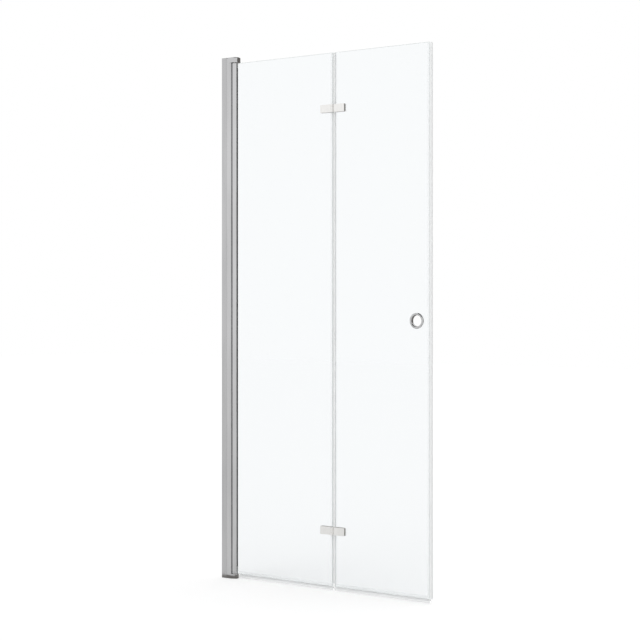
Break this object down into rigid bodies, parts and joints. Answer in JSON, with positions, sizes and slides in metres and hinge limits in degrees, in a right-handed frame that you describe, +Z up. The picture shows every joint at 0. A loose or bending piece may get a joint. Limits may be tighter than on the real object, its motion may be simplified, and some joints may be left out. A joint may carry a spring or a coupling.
{
  "type": "bifold shower door",
  "caption": "Frameless bifold shower door: a wall profile with chrome pivot caps carries a clear glass leaf, and glass hinges fold a second leaf with a ring handle onto it.",
  "frame": {"origin": "on the wall plane, in the middle plane of the glass, at the foot of the wall channel", "axes": "+X along the opening away from the wall, +Y into the shower, +Z up"},
  "size_m": [0.86, 0.0395, 1.85],
  "materials": {
    "anodised_aluminium": "bright anodised extrusion",
    "chrome": "polished chrome plate",
    "toughened_glass": "clear, polished edges",
    "clear_pvc": "translucent extruded PVC",
    "gasket_rubber": "matt",
    "magnet": "matt flexible magnet strip",
    "nylon": "moulded nylon",
    "steel": "bright turned steel"
  },
  "bodies": {
    "wall_side": {"wall_channel": "anodised_aluminium", "channel_sides": "anodised_aluminium", "frame_profile": "anodised_aluminium", "frame_ports": "anodised_aluminium", "frame_horns": "anodised_aluminium", "frame_walls": "anodised_aluminium", "clamp_screws": "steel", "clamp_screw_covers": "anodised_aluminium", "top_cap": "chrome", "bottom_cap": "chrome", "cap_screws": "steel", "top_bush": "nylon", "bottom_bush": "nylon", "gap_seal": "clear_pvc"},
    "first_leaf": {"pivot_profile": "anodised_aluminium", "pivot_webs": "anodised_aluminium", "top_end_plug": "chrome", "bottom_end_plug": "chrome", "top_pivot_pin": "steel", "bottom_pivot_pin": "steel", "plug_screws": "steel", "glazing_gasket": "gasket_rubber", "first_glass": "toughened_glass", "upper_first_wing": "chrome", "lower_first_wing": "chrome", "upper_first_clamp": "chrome", "lower_first_clamp": "chrome", "first_hinge_gaskets": "gasket_rubber", "first_hinge_screws": "steel", "first_centre_seal": "clear_pvc", "first_bottom_seal": "clear_pvc", "first_bottom_lips": "clear_pvc", "hinge_pins": "steel"},
    "second_leaf": {"second_glass": "toughened_glass", "upper_second_wing": "chrome", "lower_second_wing": "chrome", "upper_second_clamp": "chrome", "lower_second_clamp": "chrome", "second_hinge_gaskets": "gasket_rubber", "second_hinge_screws": "steel", "hinge_washers": "nylon", "second_centre_seal": "clear_pvc", "second_bottom_seal": "clear_pvc", "second_bottom_lips": "clear_pvc", "free_edge_seal": "clear_pvc", "magnet_strip": "magnet", "front_ring": "chrome", "back_ring": "chrome", "ring_gaskets": "gasket_rubber"}
  },
  "joints": [
    {"name": "wall_pivot", "type": "hinge", "parent": "wall_side", "child": "first_leaf", "pos_m": [0.047, 0, 0.925], "axis": [0, 0, 1], "range_deg": [0, 90]},
    {"name": "fold", "type": "hinge", "parent": "first_leaf", "child": "second_leaf", "pos_m": [0.4735, -0.014, 0.925], "axis": [0, 0, -1], "range_deg": [0, 180]}
  ]
}
